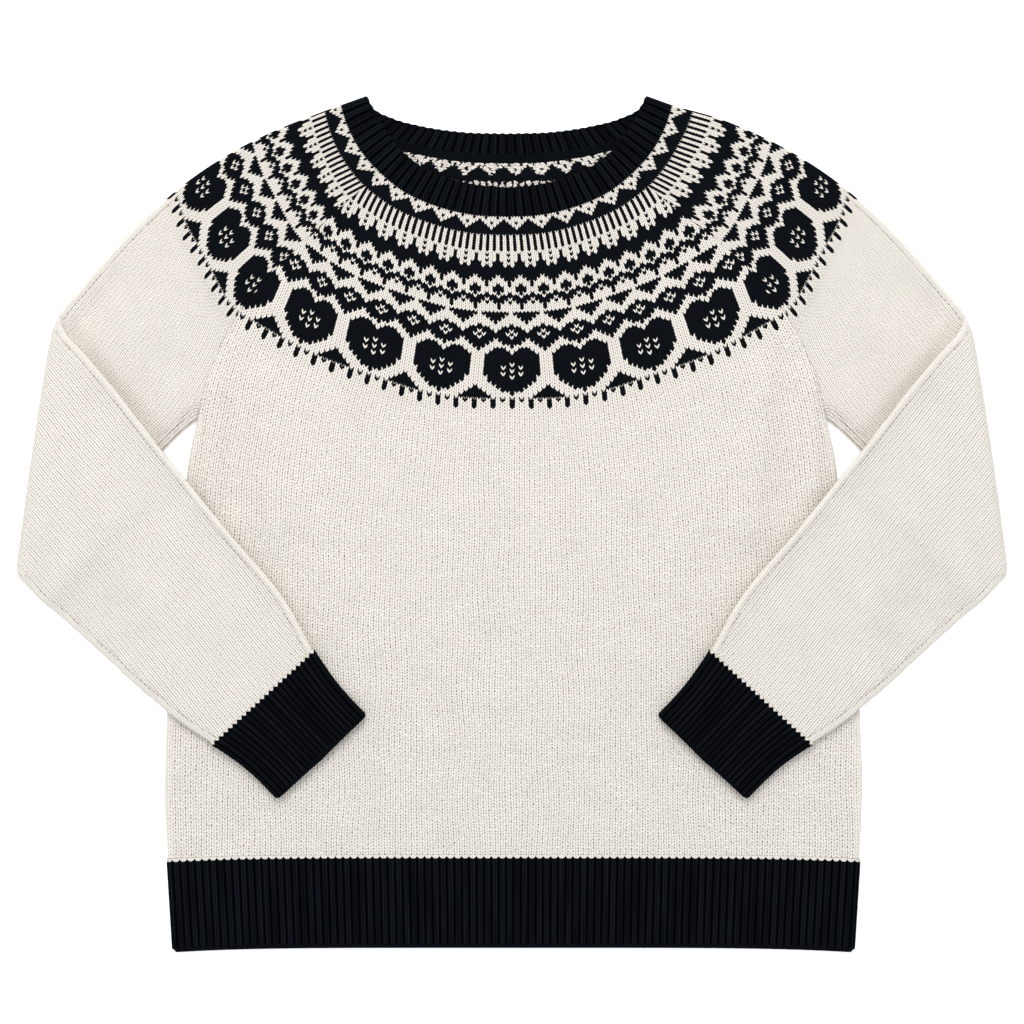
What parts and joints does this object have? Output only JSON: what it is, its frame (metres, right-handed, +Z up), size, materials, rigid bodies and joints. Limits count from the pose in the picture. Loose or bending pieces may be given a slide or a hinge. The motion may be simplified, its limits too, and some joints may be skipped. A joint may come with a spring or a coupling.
{
  "type": "fair isle jumper",
  "caption": "Fair isle yoke jumper with long raglan sleeves and ribbed neck, cuffs and hem, lying flat with both sleeves folded over its front.",
  "frame": {"origin": "middle of the flat garment's bounding box, on the surface that it lies on", "axes": "+X towards the wearer's left, +Y from hem to neck, +Z up from the surface, out of the garment's front"},
  "size_m": [0.7228, 0.625, 0.0123],
  "materials": {
    "body_knit": "cream plain knit with a navy black and cream patterned yoke, matt",
    "sleeve_knit": "cream plain knit with the yoke pattern at the shoulder, matt",
    "rib_knit": "navy black ribbed knit, matt"
  },
  "bodies": {
    "root": {"front": "body_knit", "back": "body_knit", "sleeve_left": "sleeve_knit", "sleeve_right": "sleeve_knit", "neckband": "rib_knit", "cuff_left": "rib_knit", "cuff_right": "rib_knit", "hem_front": "rib_knit", "hem_back": "rib_knit"}
  },
  "joints": []
}
